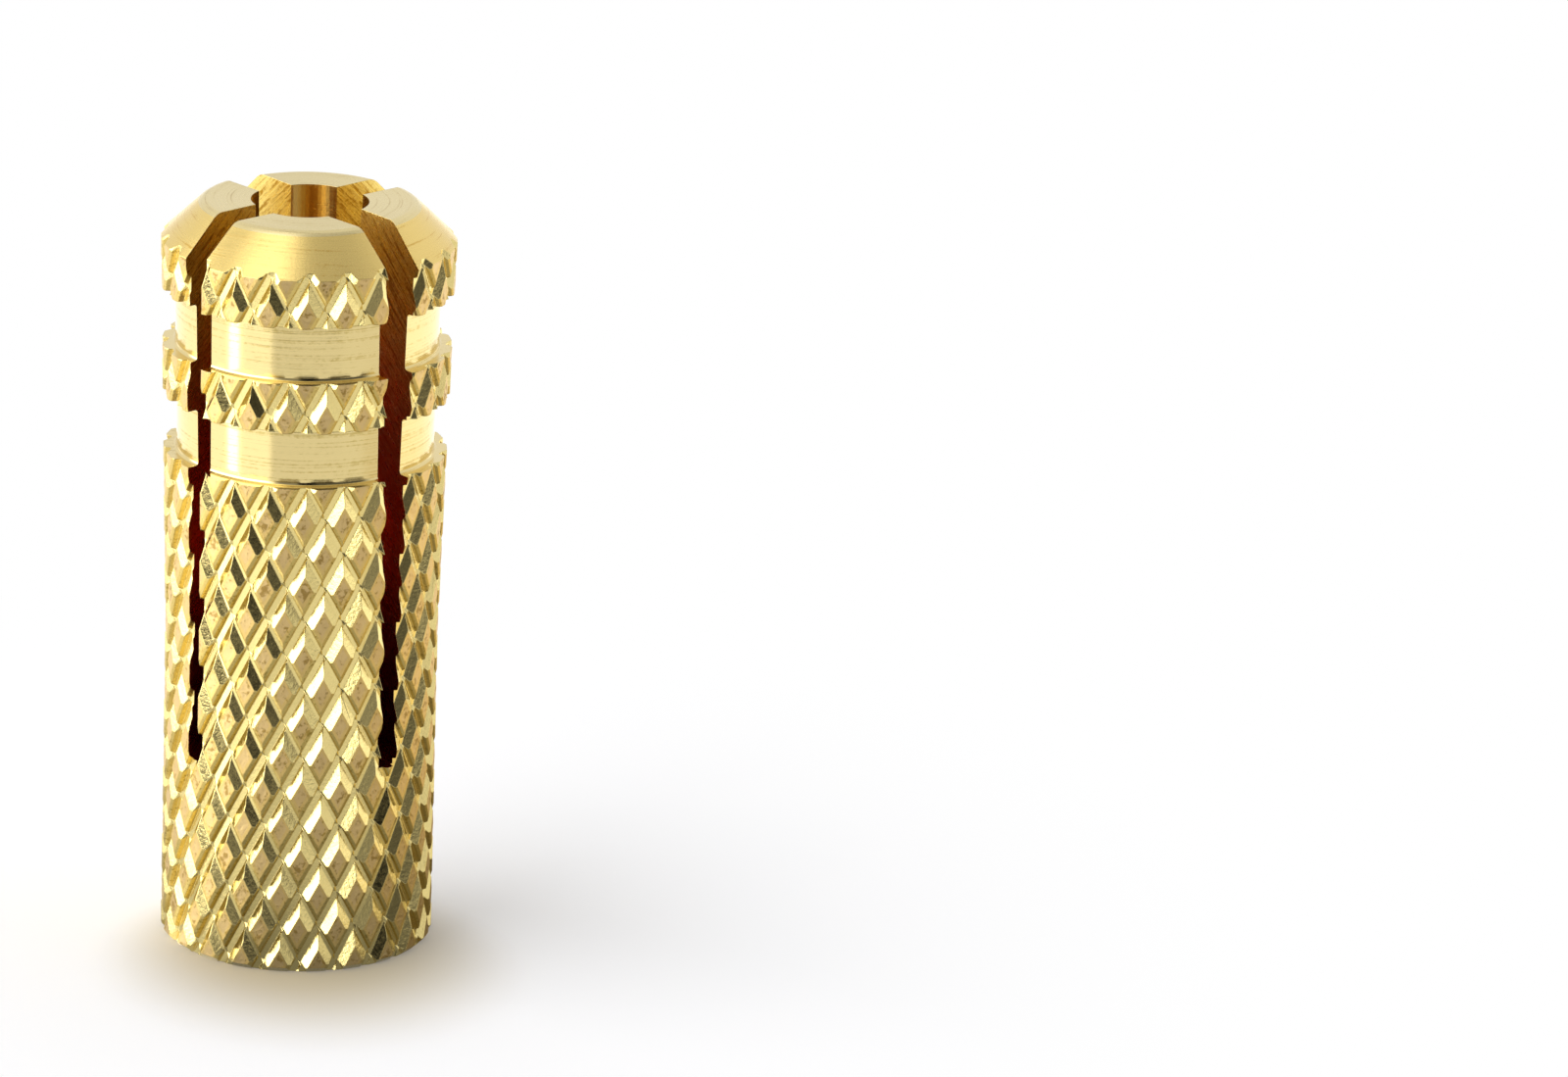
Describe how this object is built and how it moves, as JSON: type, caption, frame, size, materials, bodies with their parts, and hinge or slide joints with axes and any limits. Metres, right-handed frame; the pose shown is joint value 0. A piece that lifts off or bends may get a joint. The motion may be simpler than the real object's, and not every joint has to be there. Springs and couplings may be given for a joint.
{
  "type": "expansion anchor",
  "caption": "Knurled brass sleeve anchor with an internal thread, smooth turned bands and slots from its chamfered tip; a screw driven in spreads the fingers in a drilled hole.",
  "frame": {"origin": "centre of the mouth end, where the screw goes in and on which the anchor stands", "axes": "+Z along the bore from the mouth to the slotted tip; the narrow saw cut lies at 45 degrees from +X and the wide one at 135 degrees, so the fingers face +X, +Y, -X and -Y"},
  "size_m": [0.0084, 0.0084, 0.022],
  "materials": {
    "brass": "bright turned and rolled brass, satin on the tip"
  },
  "bodies": {
    "root": {"anchor_sleeve": "brass"}
  },
  "joints": []
}
